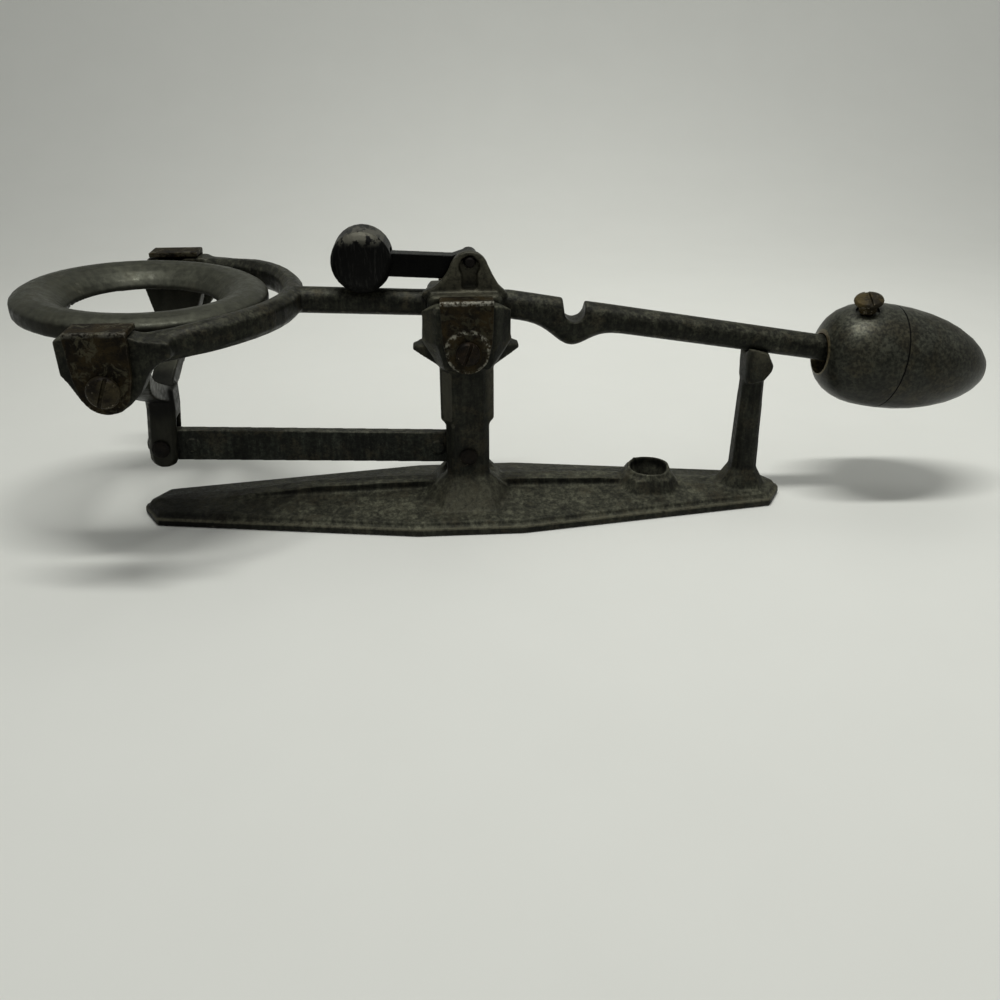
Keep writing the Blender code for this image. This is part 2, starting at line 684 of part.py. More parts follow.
def ring_carrier(material, parent):
    """Egg ring, yoke and forked stem: one casting."""
    body = egg_ring()
    join(body, yoke_leg(-1.0), yoke_leg(1.0), stem())
    slot = plate("slot", [(-90.0, 10.0), (-60.0, 10.0), (-60.0, 27.4), (-90.0, 27.4)],
                 -LINK_SLOT_HALF, LINK_SLOT_HALF)
    pin_hole = rod_between("pin_hole", STEM_PIN - Vector((0, 9, 0)), STEM_PIN + Vector((0, 9, 0)),
                           PIN_RADIUS + GAP * 0.5)
    front_seat = plate("front_seat", knife_outline(RING_PIVOT, GAP), -40.0, -25.4)
    back_seat = plate("back_seat", knife_outline(RING_PIVOT, GAP), 25.4, 40.0)
    cut(body, slot, pin_hole, front_seat, back_seat)
    body.name = "ring_carrier"
    return complete(body, material, parent)


def check_link(material, parent):
    """Flat bar with round ends, two pin holes and a small boss near each end."""
    along = (POST_PIN - STEM_PIN).normalized()
    tilt = math.degrees(math.atan2(along.z, along.x))
    left = (STEM_PIN.x, STEM_PIN.z)
    right = (POST_PIN.x, POST_PIN.z)
    outline = arc(*right, LINK_HALF_HEIGHT, tilt - 90.0, tilt + 90.0, 12)
    outline += arc(*left, LINK_HALF_HEIGHT, tilt + 90.0, tilt + 270.0, 12)
    body = plate("check_link", outline, -LINK_HALF_THICK, LINK_HALF_THICK)
    for place in (STEM_PIN + along * 7.4, POST_PIN - along * 7.8):
        boss = turned("boss", [(2.0, 0.0), (1.8, LINK_HALF_THICK + 0.35)], place, Vector((0, -1, 0)), 16)
        join(body, boss)
    for place in (STEM_PIN, POST_PIN):
        hole = rod_between("hole", place - Vector((0, 4, 0)), place + Vector((0, 4, 0)),
                           PIN_RADIUS + GAP * 0.5)
        cut(body, hole)
    return complete(body, material, parent)


def poise_centre():
    """Centre of the poise's weight, lying on the beam's left side."""
    return POISE_PIN + Vector((-math.sqrt(POISE_REACH ** 2 - POISE_RISE ** 2), 0.0, POISE_RISE))


def rivet_place():
    """Where the rivet joins the arm's tail to the weight."""
    return poise_centre() - Vector((0.0, 0.0, POISE_ARM_DROP))


def poise_arm(material, parent):
    """Flat arm with a round eye at its pivot and a round tail inside the weight."""
    tail = rivet_place()
    outline = arc(POISE_PIN.x, POISE_PIN.z, 2.1, -100.0, 100.0, 12)
    outline += [(POISE_PIN.x - 4.0, POISE_PIN.z + 0.9)]
    outline += arc(tail.x, tail.z, POISE_ARM_HALF_HEIGHT, 90.0, 270.0, 10)
    outline += [(POISE_PIN.x - 4.0, POISE_PIN.z + 0.9 - 2.0 * POISE_ARM_HALF_HEIGHT)]
    body = plate("poise_arm", outline, -POISE_ARM_HALF_THICK, POISE_ARM_HALF_THICK)
    for place, radius in ((POISE_PIN, 1.2), (tail, 1.3)):
        cut(body, rod_between("hole", place - Vector((0, 5, 0)), place + Vector((0, 5, 0)), radius + 0.1, 16))
    return complete(body, material, parent)


def poise_weight(material, parent):
    """Drum with domed ends: a saddle underneath clears the beam and a slot holds the arm."""
    centre = poise_centre()
    half = POISE_HALF_LENGTH
    disc = [(3.0, half + 1.0), (5.4, half + 0.6),
            (POISE_RADIUS - 0.7, half - 0.1), (POISE_RADIUS, half - 0.8)]
    profile = [(radius, -height) for radius, height in disc]
    profile += [(radius, height) for radius, height in reversed(disc)]
    body = turned("poise_weight", profile, centre, Vector((0, 1, 0)), 28)
    reach = POISE_ARM_HALF_HEIGHT + 0.3
    slot_half = POISE_ARM_HALF_THICK + GAP
    tail = rivet_place()
    outline = arc(tail.x, tail.z, reach, 95.0, 265.0, 12)
    outline += [(tail.x + 12.0, tail.z - 1.0 - reach), (tail.x + 12.0, tail.z + reach)]
    cut(body, plate("arm_slot", outline, -slot_half, slot_half))
    saddle = [(centre.x - 9.0, POISE_SADDLE_TOP - 3.0), (centre.x + 9.0, POISE_SADDLE_TOP - 3.0),
              (centre.x + 9.0, POISE_SADDLE_TOP), (centre.x - 9.0, POISE_SADDLE_TOP)]
    cut(body, plate("saddle", saddle, -POISE_SADDLE_HALF, POISE_SADDLE_HALF))
    cut(body, rod_between("rivet_hole", tail - Vector((0, half - 1.2, 0)), tail + Vector((0, 9, 0)), 1.4, 16))
    return complete(body, material, parent)


def poise_fasteners(material, parent):
    """The pivot pin in the ear, and the rivet that enters the weight from the back."""
    profile = [(1.0, -5.7), (1.2, -5.4), (1.2, 2.2), (2.1, 2.2), (2.1, 2.7), (1.3, 3.1)]
    complete(turned("poise_pivot_pin", profile, POISE_PIN, Vector((0, 1, 0)), 16), material, parent)
    low = 1.4 - POISE_HALF_LENGTH
    high = POISE_HALF_LENGTH + 1.2
    rivet = [(0.9, low), (1.3, low + 0.3), (1.3, high - 0.3), (0.9, high)]
    complete(turned("poise_rivet", rivet, rivet_place(), Vector((0, 1, 0)), 16), material, parent)


def egg_radius(along):
    """Radius of the counterweight at a distance along its axis from the seam."""
    if along < 0.0:
        return EGG_RADIUS * (1.0 - (-along / EGG_BLUNT) ** 2.7) ** (1.0 / 2.7)
    return EGG_RADIUS * (1.0 - (along / EGG_POINT) ** 2.0) ** (1.0 / 1.85)


def egg_frame():
    """Origin at the seam on the egg's axis, and the axis itself."""
    return Vector((EGG_SEAM_X, 0.0, rod_axis(EGG_SEAM_X) - EGG_DROP)), rod_direction()


def counterweight_halves(material, parent):
    """Blunt half with the bore for the rod, and pointed half with the cavity for the slug."""
    origin, axis = egg_frame()
    steps = 9
    blunt = []
    for step in range(steps + 1):
        along = -0.985 * EGG_BLUNT * math.sin(math.radians(90.0) * (1.0 - step / steps))
        blunt.append((egg_radius(along), min(along, -0.1)))
    body = turned("counterweight_blunt_half", blunt, origin, axis, 32)
    down = Vector((axis.z, 0.0, -axis.x)) * BORE_DROP
    bore = rod_between("bore", origin + down - axis * 30.0, origin + down + axis * 5.0, BORE_RADIUS)
    socket = rod_between("socket", origin - axis * 3.6, origin + axis * 2.0, 10.3)
    top = screw_place()
    outward = screw_direction()
    screw_hole = rod_between("screw_hole", top + outward * 8.0, top - outward * 12.0, SCREW_SHANK + 0.15, 16)
    countersink = rod_between("countersink", top + outward * 4.0, top - outward * 1.1, 2.9)
    cut(body, bore, socket, screw_hole, countersink)
    complete(body, material, parent)

    point = [(10.0, -3.2), (10.0, 0.1)]
    for step in range(steps + 1):
        along = 0.992 * EGG_POINT * math.sin(math.radians(90.0) * step / steps)
        point.append((egg_radius(along), max(along, 0.1)))
    nose = turned("counterweight_pointed_half", point, origin, axis, 32)
    cut(nose, rod_between("cavity", origin - axis * 6.0, origin + axis * (SLUG_LENGTH - 1.4), CAVITY_RADIUS))
    complete(nose, material, parent)


def screw_direction():
    """Axis of the clamp screw, pointing out of the counterweight and a little to the front."""
    return Vector((math.sin(CLAMP_SCREW_LEAN), -math.sin(CLAMP_SCREW_FORWARD),
                   math.cos(CLAMP_SCREW_FORWARD))).normalized()


def screw_place():
    """Point on the clamp screw's axis at the counterweight's skin."""
    origin, axis = egg_frame()
    along = (CLAMP_SCREW_X - EGG_SEAM_X) / axis.x
    up = Vector((-axis.z, 0.0, axis.x))
    spoke = up * math.cos(CLAMP_SCREW_FORWARD) - Vector((0.0, math.sin(CLAMP_SCREW_FORWARD), 0.0))
    return origin + axis * along + spoke * egg_radius(along)


def clamp_screw(material, parent):
    """Slotted screw with a conical head that clamps the counterweight on the rod."""
    seat = screw_place()
    outward = screw_direction()
    depth = (seat.z - rod_axis(seat.x) - rod_radius(seat.x)) / outward.z - GAP
    profile = [(0.9, -depth), (SCREW_SHANK, -depth + 0.7), (SCREW_SHANK, -0.5), (2.2, -0.4), (2.1, 1.0),
               (3.4, 2.0), (3.6, 2.6), (3.3, 3.2), (1.9, 3.7)]
    screw = turned("clamp_screw", profile, seat, outward)
    across = Vector((0.2, 1.0, 0.0)).cross(outward).normalized()
    along = outward.cross(across)
    slot = []
    for end in (-6.0, 6.0):
        slot.append([seat + along * end + across * side + outward * height
                     for side, height in ((-0.45, 2.9), (0.45, 2.9), (0.45, 6.0), (-0.45, 6.0))])
    cut(screw, loft("driver_slot", slot))
    return complete(screw, material, parent)


def balance_slug(material, parent):
    """Loose-fitting slug inside the pointed half."""
    origin, axis = egg_frame()
    outline = [(7.6, -2.6), (8.2, -2.0), (8.2, SLUG_LENGTH - 3.0), (7.4, SLUG_LENGTH - 1.9)]
    slug = turned("balance_slug", outline, origin, axis)
    return complete(slug, material, parent)


def build():
    """Make every sub-part and hang it on its joint."""
    clear_scene()
    cast = finish_material("cast_aluminium", CAST, 0.55, 0.85)
    cast_link = finish_material("cast_link", CAST_DARK, 0.6, 0.85)
    rusty = finish_material("rusty_steel", RUSTY_STEEL, 0.7, 0.6)
    dark = finish_material("dark_steel", DARK_STEEL, 0.65, 0.6)
    paint = finish_material("black_paint", BLACK_PAINT, 0.5, 0.1)
    brass = finish_material("worn_brass", WORN_BRASS, 0.45, 0.9)
    iron = finish_material("slug_iron", IRON, 0.6, 0.8)

    beam = pivot("beam_axis", FULCRUM)
    ring = pivot("ring_axis", RING_PIVOT)
    link = pivot("link_axis", POST_PIN)
    poise = pivot("poise_axis", POISE_PIN)
    egg_origin, _ = egg_frame()
    weight = pivot("counterweight_axis", egg_origin)
    screw = pivot("clamp_screw_axis", screw_place())

    base_casting(cast)
    beam_casting(cast, beam)
    ring_carrier(cast, ring)
    check_link(cast_link, link)

    knife_edge("fulcrum_knife_edge", FULCRUM, -CHEEK_OUT + GAP, CHEEK_OUT - GAP, dark, beam)
    for side, place in ((-1.0, "front"), (1.0, "back")):
        face = side * (CHEEK_OUT + GAP)
        cap_plate("fulcrum_cap_" + place, 0.0, FULCRUM_CAP_TOP, face, side * (HUB_HALF_Y + 0.5), rusty)
        seat = Vector((0.0, face + side * (CAP_THICK + 0.1), FULCRUM_CAP_TOP - CAP_DROP))
        slotted_screw("fulcrum_cap_screw_" + place, seat, Vector((0, side, 0)), FULCRUM_SCREW_HEAD, 7.0, dark)

        apex_low, apex_high = sorted((side * 25.8, side * (LUG_OUT - GAP)))
        knife_edge("ring_knife_edge_" + place, RING_PIVOT, apex_low, apex_high, dark, ring)
        ring_face = side * (LUG_OUT + GAP)
        cap_x = ring_cap_x(side)
        cap_plate("ring_cap_" + place, cap_x, RING_CAP_TOP, ring_face, side * (LUG_IN - 0.1), rusty, beam)
        ring_seat = Vector((cap_x, ring_face + side * (CAP_THICK + 0.1), RING_CAP_TOP - CAP_DROP))
        slotted_screw("ring_cap_screw_" + place, ring_seat, Vector((0, side, 0)), RING_SCREW_HEAD, 6.0,
                      dark, beam)

    headed_pin("link_pin_pillar", POST_PIN, PILLAR_HALF_Y + 0.1, dark)
    headed_pin("link_pin_stem", STEM_PIN, STEM_HALF_Y + 0.1, dark, ring)
    poise_arm(paint, poise)
    poise_weight(paint, poise)
    poise_fasteners(dark, poise)
    counterweight_halves(cast, weight)
    balance_slug(iron, weight)
    clamp_screw(brass, screw)


build()
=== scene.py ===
"""The looks of the egg grading balance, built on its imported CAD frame.

The castings, caps, screws, pins and the poise are shown by finely meshed copies of their CAD nodes
with soft edges, and the counterweight by smoothly shaded copies of its halves. Every finish is
procedural: dusty oxide on the castings, rust on the steel and worn black paint on the poise.
"""
import json
import math

import bmesh
import bpy
from mathutils import Matrix, Vector


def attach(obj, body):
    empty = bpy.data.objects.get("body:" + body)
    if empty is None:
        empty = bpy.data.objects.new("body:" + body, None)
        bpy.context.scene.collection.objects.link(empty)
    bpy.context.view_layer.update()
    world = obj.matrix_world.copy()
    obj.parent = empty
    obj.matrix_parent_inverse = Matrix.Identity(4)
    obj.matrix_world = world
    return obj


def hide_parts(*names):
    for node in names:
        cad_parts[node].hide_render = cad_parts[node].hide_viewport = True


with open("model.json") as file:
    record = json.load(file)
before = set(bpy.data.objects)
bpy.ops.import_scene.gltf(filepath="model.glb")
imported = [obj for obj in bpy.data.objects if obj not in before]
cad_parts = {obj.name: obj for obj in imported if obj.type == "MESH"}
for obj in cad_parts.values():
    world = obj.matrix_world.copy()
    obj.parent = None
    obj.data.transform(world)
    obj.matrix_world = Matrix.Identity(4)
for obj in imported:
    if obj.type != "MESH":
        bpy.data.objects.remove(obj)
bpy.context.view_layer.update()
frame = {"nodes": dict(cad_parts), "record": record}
MM = 0.001

# Camera: its lens, its place, and how far it looks down and to the right.
LENS_MM = 33.3
SENSOR_MM = 36.0
NEAREST_SEEN = 10 * MM
CAMERA_PLACE = Vector((-7.1, -222.9, 116.3)) * MM
CAMERA_PITCH = math.radians(27.47)
CAMERA_YAW = math.radians(4.02)

# Light box: one long strip overhead that faces down, right and back, a soft glow over the paper
# behind the object, and a surround that is dim at the horizon and brighter above. The surround
# rises from its low to its high strength between two heights of the direction, where 1 is up.
LAMP_COLOUR = (0.995, 1.0, 0.97)
STRIP_PLACE = Vector((21.0, -77.0, 530.0)) * MM
STRIP_TARGET = Vector((240.0, 50.0, 0.0)) * MM
STRIP_LENGTH = 300 * MM
STRIP_WIDTH = 34 * MM
STRIP_POWER = 1.74
GLOW_PLACE = Vector((70.0, 210.0, 360.0)) * MM
GLOW_TARGET = Vector((70.0, 210.0, 0.0)) * MM
GLOW_SIZE = 260 * MM
GLOW_POWER = 0.11
GLOW_SPREAD = math.radians(100.0)
SURROUND_COLOUR = (0.985, 1.0, 0.985, 1.0)
SURROUND_LOW, SURROUND_HIGH = 0.16, 0.42
SURROUND_RISE = (-0.05, 0.75)

# Paper sweep, in mm: it runs flat to the bend behind the object, then stands up as a wall.
PAPER_FRONT = -900.0
PAPER_BEND = 260.0
PAPER_BEND_RADIUS = 330.0
PAPER_BEND_STEPS = 12
PAPER_TOP = 1200.0
PAPER_HALF_WIDTH = 1500.0

# Directions of the rod, and of the screws in the caps.
ROD_LINE = Vector((0.9875, 0.0, -0.1576))
FRONT_TO_BACK = Vector((0.0, 1.0, 0.0))

# Caps, in mm. A fold is given as its reach from the middle plane and its height.
FULCRUM_SCREW = Vector((0.0, 0.0, 46.5))
CRUST_RADIUS = 5.1
FULCRUM_CAP_FOLD = (13.8, 58.5)
RING_CAP_FOLD = (39.5, 60.7)

# Counterweight, in mm: a point on its seam, and a point on the line of its bore. A pair is a span
# over which a finish fades out: outwards from the bore's line for the rusty mouth, and along the
# rod from the seam for what is only on the blunt end.
EGG_SEAM = Vector((107.8, 0.0, 39.1))
SEAM_HALF = 0.22
EGG_BORE = Vector((107.56, 0.0, 37.6))
BORE_LIP_RADIUS = 5.5
BORE_MOUTH_FADE = (5.1, 5.3)
BLUNT_END_FADE = (-12.6, -11.6)

# Base and poise, in mm: the height of the painted highlight along the base's flange, the span in X over
# which the painted shadow and dirt on the base's left end fade out, and the spans of height over which
# the poise's worn paint sets in.
FLANGE_TOP = 1.9
BASE_SHADOW_AND_GRIME_FADE = (-80.0, -36.0)
POISE_TOP_WEAR = (69.5, 71.7)
POISE_RIM_WEAR = (66.0, 70.0)

# How close surfaces stand, in mm, where the hollows between them get painted shade and dirt.
HOLLOW_REACH = 3.0

# Stretch of a noise on each axis: a part below 1 draws the pattern out along that axis.
EVEN = (1.0, 1.0, 1.0)
STREAKS = (1.0, 1.0, 0.14)
BRUSH_STROKES = (1.0, 1.0, 0.11)
RIM_PATCHES = (1.0, 0.35, 1.0)

# Places where dust gathers, in mm: the centre, the reach along each axis, and the dust's strength. The
# yoke's place has no strength: it is darkened as painted shade in the crotch between the yoke's legs.
BASE_DUST = (
    (Vector((0.0, -8.0, 6.0)), (13.0, 9.0, 6.0), 0.55),
    (Vector((6.5, -5.0, 35.0)), (2.2, 5.0, 16.0), 0.85),
    (Vector((-6.3, -5.0, 35.0)), (2.0, 5.0, 16.0), 0.25),
    (Vector((-9.5, -9.5, 50.0)), (2.6, 5.0, 9.0), 0.50),
    (Vector((75.5, -3.0, 42.5)), (5.0, 5.0, 6.0), 0.65),
)
BEAM_DUST = (
    (Vector((1.0, -5.0, 62.0)), (11.0, 4.5, 8.0), 0.95),
    (Vector((0.0, -8.0, 58.5)), (12.0, 3.0, 2.0), 0.60),
)
# Painted shade: the crotch between the yoke's legs, under the ring, is darkened.
YOKE_SHADE = ((Vector((-76.5, -2.0, 34.0)), (9.0, 12.0, 7.0)),)

# Colours that the finishes share or lay over their own.
CAST_EARTH = (0.046, 0.039, 0.024)
CAST_DUST = (0.070, 0.066, 0.045)
CAST_WORN = (0.120, 0.116, 0.088)
# A painted highlight along the top edge of the base's flange.
CAST_LINE_HIGHLIGHT = (0.110, 0.104, 0.072)
EGG_STAIN = (0.024, 0.020, 0.010)
BORE_RUST = (0.085, 0.062, 0.030)
# A painted highlight round the rim of the counterweight's bore.
BORE_LIP_HIGHLIGHT = (0.125, 0.105, 0.060)
RUST_BROWN = (0.024, 0.0165, 0.0060)
RUST_DARK = (0.0050, 0.0036, 0.0018)
STEEL_WORN = (0.24, 0.215, 0.165)
# A painted highlight along the fold of a cap.
FOLD_HIGHLIGHT = (0.33, 0.32, 0.27)
SCREW_CRUST = (0.34, 0.33, 0.27)
PAPER_DARK = (0.70, 0.705, 0.665)
PAPER_LIGHT = (0.73, 0.735, 0.695)

# Shoulders that are rounded further: two opposite corners in mm, and the rounds of smoothing,
# which take their full strength this far in, in mm.
SOFT_SHOULDERS = {"beam_casting": (Vector((-69.5, 28.0, 44.0)), Vector((-50.0, 44.0, 64.0)), 60)}
SOFT_FADE = 3.0

# The counterweight's copies: points this close become one, and edges above this angle stay sharp.
SAME_POINT = 0.002 * MM
EGG_SHARP_ANGLE = math.radians(28.0)


def add_object(name, data):
    """A new object in the scene."""
    made = bpy.data.objects.new(name, data)
    bpy.context.scene.collection.objects.link(made)
    return made


def sweep_floor():
    """Pale paper that runs under the object and curves up behind it."""
    profile = [(PAPER_FRONT, 0.0), (PAPER_BEND, 0.0)]
    for step in range(1, PAPER_BEND_STEPS + 1):
        angle = math.radians(90.0) * step / PAPER_BEND_STEPS
        profile.append((PAPER_BEND + PAPER_BEND_RADIUS * math.sin(angle),
                        PAPER_BEND_RADIUS * (1.0 - math.cos(angle))))
    profile.append((PAPER_BEND + PAPER_BEND_RADIUS, PAPER_TOP))
    shape = bmesh.new()
    left, right = ([shape.verts.new((x * MM, y * MM, z * MM)) for y, z in profile]
                   for x in (-PAPER_HALF_WIDTH, PAPER_HALF_WIDTH))
    for index in range(len(profile) - 1):
        shape.faces.new((left[index], right[index], right[index + 1], left[index + 1]))
    mesh = bpy.data.meshes.new("paper_sweep")
    shape.to_mesh(mesh)
    shape.free()
    mesh.shade_smooth()
    return add_object("paper_sweep", mesh)


class Look:
    """A node material with short calls for its parts. Sizes, places and distances are in mm."""

    def __init__(self, name):
        self.material = bpy.data.materials.new(name)
        self.material.use_nodes = True
        self.tree = self.material.node_tree
        self.shader = self.tree.nodes["Principled BSDF"]
        coordinates = self.add("TexCoord")
        self.place = coordinates.outputs["Object"]
        self.facing = coordinates.outputs["Normal"]

    def add(self, kind):
        """A new shader node of a kind."""
        return self.tree.nodes.new("ShaderNode" + kind)

    def feed(self, socket, value):
        """Link an output to a socket, or set the socket to a constant."""
        if isinstance(value, bpy.types.NodeSocket):
            self.tree.links.new(value, socket)
        elif isinstance(value, tuple) and socket.type == "RGBA":
            socket.default_value = (*value, 1.0)
        else:
            socket.default_value = value

    def pattern(self, kind, size, stretch, shift):
        """A texture node whose pattern is about this size, and is stretched and shifted."""
        scale = 1.0 / (size * MM)
        mapping = self.add("Mapping")
        mapping.inputs["Scale"].default_value = [scale * part for part in stretch]
        mapping.inputs["Location"].default_value = shift
        self.feed(mapping.inputs["Vector"], self.place)
        texture = self.add(kind)
        texture.inputs["Scale"].default_value = 1.0
        self.feed(texture.inputs["Vector"], mapping.outputs["Vector"])
        return texture

    def noise(self, size, detail, roughness, offset=0.0, stretch=EVEN, distortion=0.0):
        """Noise whose blobs are about this size. Another offset gives another pattern."""
        texture = self.pattern("TexNoise", size, stretch, (offset, offset * 1.7, offset * 0.6))
        texture.inputs["Detail"].default_value = detail
        texture.inputs["Roughness"].default_value = roughness
        texture.inputs["Distortion"].default_value = distortion
        return texture.outputs["Fac"]

    def cells(self, size, offset):
        """Distance to the nearest of a scatter of points that are about this size apart."""
        texture = self.pattern("TexVoronoi", size, EVEN, (offset, offset, offset))
        return texture.outputs["Distance"]

    def ramp(self, value, low, high, start=0.0, end=1.0):
        """Start where the value is low or less, end where it is high or more, smooth between."""
        node = self.add("MapRange")
        node.interpolation_type = "SMOOTHSTEP"
        self.feed(node.inputs["Value"], value)
        node.inputs["From Min"].default_value = low
        node.inputs["From Max"].default_value = high
        node.inputs["To Min"].default_value = start
        node.inputs["To Max"].default_value = end
        return node.outputs["Result"]

    def fade(self, value, low, high):
        """1 where the value is low or less, 0 where it is high or more."""
        return self.ramp(value, low, high, 1.0, 0.0)

    def band(self, value, middle, inner, outer):
        """1 where the value is within inner of the middle, 0 where it is outer or more away."""
        return self.fade(self.maths("ABSOLUTE", self.maths("SUBTRACT", value, middle)), inner, outer)

    def maths(self, operation, first, second=0.0, clamp=False):
        """One step of arithmetic on numbers."""
        node = self.add("Math")
        node.operation = operation
        node.use_clamp = clamp
        self.feed(node.inputs[0], first)
        self.feed(node.inputs[1], second)
        return node.outputs["Value"]

    def times(self, first, second):
        """Product of two numbers."""
        return self.maths("MULTIPLY", first, second)

    def plus(self, first, *others):
        """Sum of two or more numbers."""
        for other in others:
            first = self.maths("ADD", first, other)
        return first

    def vectors(self, operation, first, second=(0.0, 0.0, 0.0), result="Vector"):
        """One step of arithmetic on vectors."""
        node = self.add("VectorMath")
        node.operation = operation
        self.feed(node.inputs[0], first)
        self.feed(node.inputs[1], second)
        return node.outputs[result]

    def parts(self, vector):
        """The X, Y and Z of a vector."""
        split = self.add("SeparateXYZ")
        self.feed(split.inputs["Vector"], vector)
        return split.outputs

    def at(self, axis):
        """Place on an axis at rest: X runs to the right, Y to the back and Z up."""
        return self.times(self.parts(self.place)[axis], 1.0 / MM)

    def upward(self):
        """How far the surface faces up at rest: 1 is level, 0 is upright and -1 faces down."""
        return self.parts(self.facing)["Z"]

    def edges(self, fine, raggedness, low, high):
        """1 on outer edges, made ragged by a fine noise, and 0 on flat faces."""
        pointed = self.add("NewGeometry").outputs["Pointiness"]
        return self.ramp(self.plus(pointed, self.times(fine, raggedness)), low, high)

    def hollows(self, reach):
        """1 in the open, and less where the part's own surfaces stand close by."""
        node = self.add("AmbientOcclusion")
        node.samples = 8
        node.only_local = True
        node.inputs["Distance"].default_value = reach * MM
        return node.outputs["AO"]

    def away(self, centre, reach):
        """Distance from a point, as a share of the reach on each axis: 1 is at the reach."""
        offset = self.vectors("SUBTRACT", self.place, tuple(centre * MM))
        scaled = self.vectors("MULTIPLY", offset, tuple(1.0 / (part * MM) for part in reach))
        return self.vectors("LENGTH", scaled, result="Value")

    def along(self, point, direction):
        """Distance from the point, measured along the direction."""
        offset = self.vectors("SUBTRACT", self.place, tuple(point * MM))
        return self.vectors("DOT_PRODUCT", offset, tuple(direction / MM), "Value")

    def away_from_line(self, point, direction):
        """Distance from the line through the point that runs along the direction."""
        offset = self.vectors("SUBTRACT", self.place, tuple(point * MM))
        across = self.vectors("CROSS_PRODUCT", offset, tuple(direction / MM))
        return self.vectors("LENGTH", across, result="Value")

    def away_from_folds(self, reach, height):
        """Distance from the front and back lines that run along the part at a reach and height."""
        across = self.maths("SUBTRACT", self.maths("ABSOLUTE", self.at("Y")), reach)
        rise = self.maths("SUBTRACT", self.at("Z"), height)
        return self.maths("SQRT", self.plus(self.times(across, across), self.times(rise, rise)))

    def mix(self, share, first, second):
        """Mix two colours: the first where the share is 0, the second where it is 1."""
        node = self.add("Mix")
        node.data_type = "RGBA"
        self.feed(node.inputs["Factor"], share)
        self.feed(node.inputs["A"], first)
        self.feed(node.inputs["B"], second)
        return node.outputs["Result"]

    def cover(self, tone, colour, share, strength=1.0):
        """Lay a colour over the tone where the share is high."""
        return self.mix(self.times(share, strength), tone, colour)

    def shade(self, tone, factor):
        """Make a colour lighter or darker by a factor."""
        node = self.add("VectorMath")
        node.operation = "SCALE"
        self.feed(node.inputs[0], tone)
        self.feed(node.inputs["Scale"], factor)
        return node.outputs["Vector"]

    def vary(self, tone, value, low, high, darker, lighter):
        """Darken the tone by a share where the value is low, and lighten it where it is high."""
        return self.shade(tone, self.ramp(value, low, high, 1.0 - darker, 1.0 + lighter))

    def darken(self, tone, share, factor):
        """Scale the tone by the factor where the share is 1, and leave it where it is 0."""
        return self.shade(tone, self.ramp(share, 0.0, 1.0, 1.0, factor))

    def bump(self, height, depth, strength):
        """Surface normal of a relief this deep."""
        node = self.add("Bump")
        node.inputs["Strength"].default_value = strength
        node.inputs["Distance"].default_value = depth * MM
        self.feed(node.inputs["Height"], height)
        return node.outputs["Normal"]

    def finish(self, colour, roughness, metallic, glint, normal=None):
        """Set the surface and return the material. The glint is the strength of its gloss."""
        self.feed(self.shader.inputs["Base Color"], colour)
        self.feed(self.shader.inputs["Roughness"], roughness)
        self.feed(self.shader.inputs["Metallic"], metallic)
        self.shader.inputs["Specular IOR Level"].default_value = glint
        if normal is not None:
            self.feed(self.shader.inputs["Normal"], normal)
        return self.material


def lit_and_weathered(look, top, shaded_side, fine, grain, offset, speckle, cloudy):
    """Colour of an oxidised casting: lighter on top and darker at its sides as painted light and shade,
    patchy, streaky and dusty.
    """
    cloud = look.noise(9.0, 6.0, 0.68, offset, distortion=0.3)
    patches = look.noise(5.0, 6.0, 0.7, offset + 6.0)
    streaks = look.noise(1.5, 5.0, 0.7, offset + 2.0, STREAKS)
    soil = look.noise(6.0, 6.0, 0.7, offset + 8.0)
    # Painted light and shade: the top colour where the surface faces up, the side colour where it
    # stands upright.
    tone = look.mix(look.ramp(look.upward(), 0.05, 0.85), shaded_side, top)
    tone = look.vary(tone, cloud, 0.36, 0.66, 0.4 * cloudy, 0.36 * cloudy)
    tone = look.cover(tone, look.shade(tone, 1.0 + 0.6 * cloudy), look.ramp(patches, 0.50, 0.68), 0.40)
    tone = look.vary(tone, fine, 0.40, 0.62, 0.50 * speckle, 0.70 * speckle)
    tone = look.vary(tone, streaks, 0.38, 0.64, 0.4 * cloudy, 0.5 * cloudy)
    dust = look.times(look.ramp(grain, 0.56, 0.70), look.ramp(fine, 0.50, 0.64))
    tone = look.cover(tone, look.shade(top, 2.0), dust, 0.55 * speckle)
    earth = look.times(look.ramp(soil, 0.50, 0.62), look.ramp(fine, 0.36, 0.60))
    return look.cover(tone, CAST_EARTH, earth, 0.55 * cloudy)


